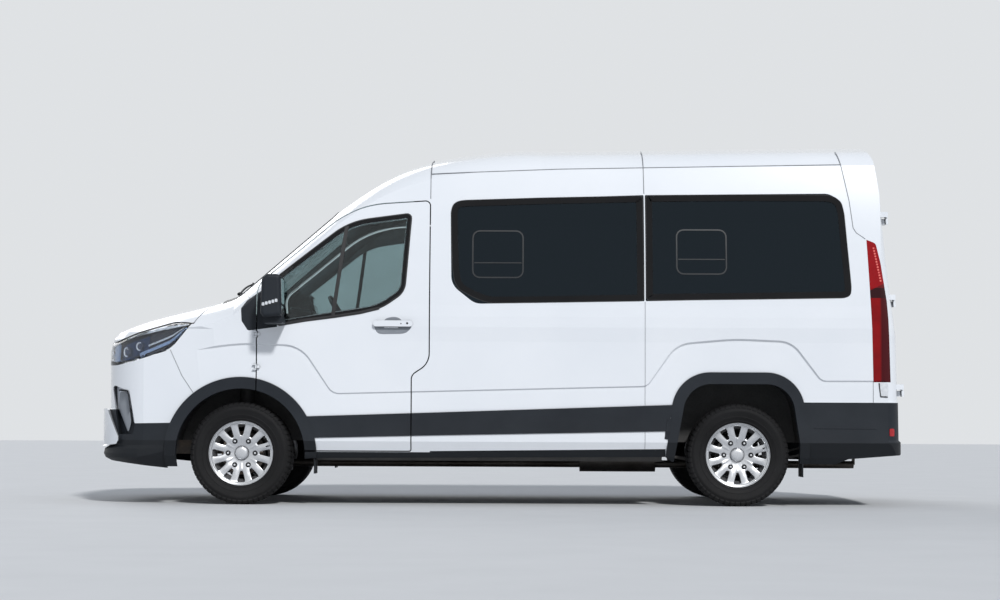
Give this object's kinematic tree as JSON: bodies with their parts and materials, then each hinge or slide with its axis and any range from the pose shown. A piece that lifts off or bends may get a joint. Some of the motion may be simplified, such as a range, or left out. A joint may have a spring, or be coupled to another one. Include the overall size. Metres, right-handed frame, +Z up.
{
  "type": "minibus",
  "caption": "White minibus with a raked nose, dark side glass, grey lower cladding, sliding side door, twin rear doors and alloy wheels.",
  "frame": {"origin": "on the ground under the middle of the bounding box", "axes": "+X points to the rear, +Y to the vehicle's right, +Z up"},
  "size_m": [5.5458, 2.62, 2.5341],
  "materials": {
    "body_paint": "gloss paint",
    "cladding_grey": "fine grain",
    "black_plastic": "fine grain",
    "clear_glass": "light tint",
    "dark_glass": "privacy tint",
    "lamp_clear": "clear lens",
    "lamp_red": "gloss",
    "tyre_rubber": "moulded rubber",
    "alloy": "satin lacquer",
    "steel": "satin paint",
    "cast_iron": "bare casting",
    "exhaust_steel": "dull",
    "seat_fabric": "woven"
  },
  "bodies": {
    "body": {"floor": "steel", "cab_frame": "body_paint", "roof": "body_paint", "side_panel_left": "body_paint", "side_frame_right": "body_paint", "sliding_door": "body_paint", "quarter_panels": "body_paint", "rear_portal": "body_paint", "wings": "body_paint", "cowl": "black_plastic", "front_bumper": "body_paint", "bumper_lower": "cladding_grey", "grille": "black_plastic", "headlamps": "lamp_clear", "windscreen": "clear_glass", "side_glass": "dark_glass", "tail_lamps": "lamp_red", "cladding": "cladding_grey", "rear_bumper": "cladding_grey", "front_suspension": "steel", "rear_axle": "steel", "exhaust": "exhaust_steel", "fuel_tank": "black_plastic", "engine": "cast_iron", "dashboard": "black_plastic", "seats": "seat_fabric"},
    "front_door_left": {"front_door_left": "body_paint", "front_glass_left": "clear_glass", "door_trim_left": "cladding_grey"},
    "front_door_right": {"front_door_right": "body_paint", "front_glass_right": "clear_glass", "door_trim_right": "cladding_grey"},
    "rear_door_left": {"rear_door_left": "body_paint", "rear_glass_left": "dark_glass"},
    "rear_door_right": {"rear_door_right": "body_paint", "rear_glass_right": "dark_glass"},
    "bonnet": {"bonnet": "body_paint"},
    "knuckle_left": {"knuckle_left": "cast_iron"},
    "knuckle_right": {"knuckle_right": "cast_iron"},
    "wheel_front_left": {"tyre_front_left": "tyre_rubber", "rim_front_left": "alloy"},
    "wheel_front_right": {"tyre_front_right": "tyre_rubber", "rim_front_right": "alloy"},
    "wheel_rear_left": {"tyre_rear_left": "tyre_rubber", "rim_rear_left": "alloy"},
    "wheel_rear_right": {"tyre_rear_right": "tyre_rubber", "rim_rear_right": "alloy"}
  },
  "joints": [
    {"name": "front_door_left_hinge", "type": "hinge", "parent": "body", "child": "front_door_left", "pos_m": [-1.628, -1.036, 1.1], "axis": [0, 0, -1], "range_deg": [0, 70]},
    {"name": "front_door_right_hinge", "type": "hinge", "parent": "body", "child": "front_door_right", "pos_m": [-1.628, 1.036, 1.1], "axis": [0, 0, 1], "range_deg": [0, 70]},
    {"name": "rear_door_left_hinge", "type": "hinge", "parent": "body", "child": "rear_door_left", "pos_m": [2.705, -0.893, 1.387], "axis": [0.0853, 0, -0.9964], "range_deg": [0, 90]},
    {"name": "rear_door_right_hinge", "type": "hinge", "parent": "body", "child": "rear_door_right", "pos_m": [2.705, 0.893, 1.387], "axis": [-0.0853, 0, 0.9964], "range_deg": [0, 90]},
    {"name": "bonnet_hinge", "type": "hinge", "parent": "body", "child": "bonnet", "pos_m": [-1.871, 0, 1.44], "axis": [0, 1, 0], "range_deg": [0, 50]},
    {"name": "steer_left", "type": "hinge", "parent": "body", "child": "knuckle_left", "pos_m": [-1.733, -0.786, 0.346], "axis": [0, 0, 1], "range_deg": [-35, 35]},
    {"name": "steer_right", "type": "hinge", "parent": "body", "child": "knuckle_right", "pos_m": [-1.733, 0.786, 0.346], "axis": [0, 0, 1], "range_deg": [-35, 35]},
    {"name": "spin_front_left", "type": "hinge", "parent": "knuckle_left", "child": "wheel_front_left", "pos_m": [-1.733, -0.866, 0.346], "axis": [0, 1, 0], "continuous": true},
    {"name": "spin_front_right", "type": "hinge", "parent": "knuckle_right", "child": "wheel_front_right", "pos_m": [-1.733, 0.866, 0.346], "axis": [0, 1, 0], "continuous": true},
    {"name": "spin_rear_left", "type": "hinge", "parent": "body", "child": "wheel_rear_left", "pos_m": [1.633, -0.866, 0.346], "axis": [0, 1, 0], "continuous": true},
    {"name": "spin_rear_right", "type": "hinge", "parent": "body", "child": "wheel_rear_right", "pos_m": [1.633, 0.866, 0.346], "axis": [0, 1, 0], "continuous": true}
  ],
  "couplings": [
    {"joint": "steer_right", "follows": "steer_left", "ratio": 1}
  ]
}
